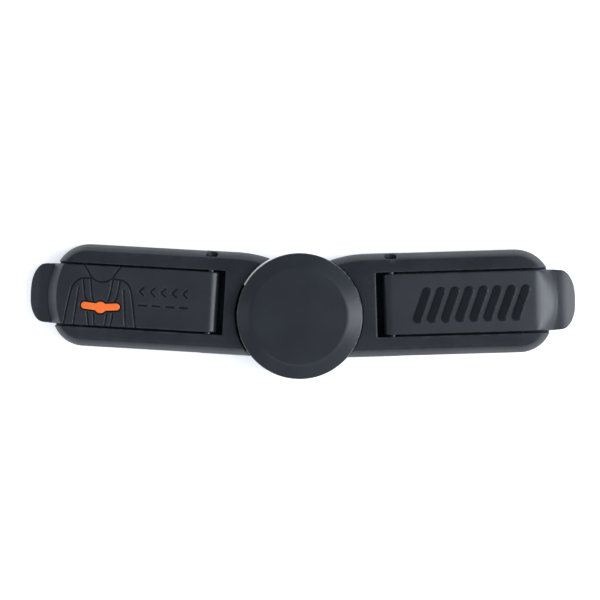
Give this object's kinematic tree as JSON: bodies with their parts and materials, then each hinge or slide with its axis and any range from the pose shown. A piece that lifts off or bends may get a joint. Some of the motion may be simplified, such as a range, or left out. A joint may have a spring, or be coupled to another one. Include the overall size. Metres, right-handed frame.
{
  "type": "harness chest clip",
  "caption": "Chest clip for a child seat harness: hinged strap flaps on both arms, joined by a tongue and a round push button latch.",
  "frame": {"origin": "on the round button's axis, at the flat rear face of the hub", "axes": "+X along the clip towards the arm that holds the latch, +Y up the wearer's chest, +Z out of the front, along the button's axis"},
  "size_m": [0.1658, 0.0399, 0.016],
  "materials": {
    "arm_plastic": "fine moulded texture, satin black",
    "flap_plastic": "fine moulded texture, satin black",
    "button_plastic": "smooth matte black",
    "rear_plastic": "moulded, matte black",
    "tongue_plastic": "glass-filled nylon, matte",
    "inner_plastic": "natural acetal, slightly glossy",
    "marker_plastic": "orange insert, satin",
    "grip_rubber": "soft matte elastomer",
    "steel": "blackened steel",
    "spring_steel": "bright spring wire"
  },
  "bodies": {
    "right_half": {"right_shell": "arm_plastic", "right_back_plate": "rear_plastic", "right_hinge_pin": "steel", "right_screws": "steel", "hub_screws": "steel", "right_grip_pad": "grip_rubber", "latch_spring": "inner_plastic", "button_spring": "spring_steel"},
    "button": {"button_cap": "button_plastic", "button_carrier": "inner_plastic"},
    "right_flap": {"right_flap": "flap_plastic", "right_flap_strips": "grip_rubber"},
    "left_half": {"left_shell": "arm_plastic", "left_back_plate": "rear_plastic", "tongue_plate": "tongue_plastic", "left_hinge_pin": "steel", "left_screws": "steel", "left_grip_pad": "grip_rubber"},
    "left_flap": {"left_flap": "flap_plastic", "left_flap_strips": "grip_rubber", "clip_marker": "marker_plastic"}
  },
  "joints": [
    {"name": "button_press", "type": "slide", "parent": "right_half", "child": "button", "axis": [0, 0, -1], "range_m": [0, 0.002], "stiffness_N_per_m": 2000, "springref_m": -0.001, "deforming": ["button_spring"]},
    {"name": "tongue_release", "type": "slide", "parent": "right_half", "child": "left_half", "axis": [-1, 0, 0], "range_m": [0, 0.03], "deforming": ["latch_spring"]},
    {"name": "left_flap_hinge", "type": "hinge", "parent": "left_half", "child": "left_flap", "pos_m": [-0.02747, 0.0038, 0.0084], "axis": [0.0436, 0.999, 0], "range_deg": [0, 110]},
    {"name": "right_flap_hinge", "type": "hinge", "parent": "right_half", "child": "right_flap", "pos_m": [0.02747, 0.0038, 0.0084], "axis": [0.0436, -0.999, 0], "range_deg": [0, 110]}
  ]
}
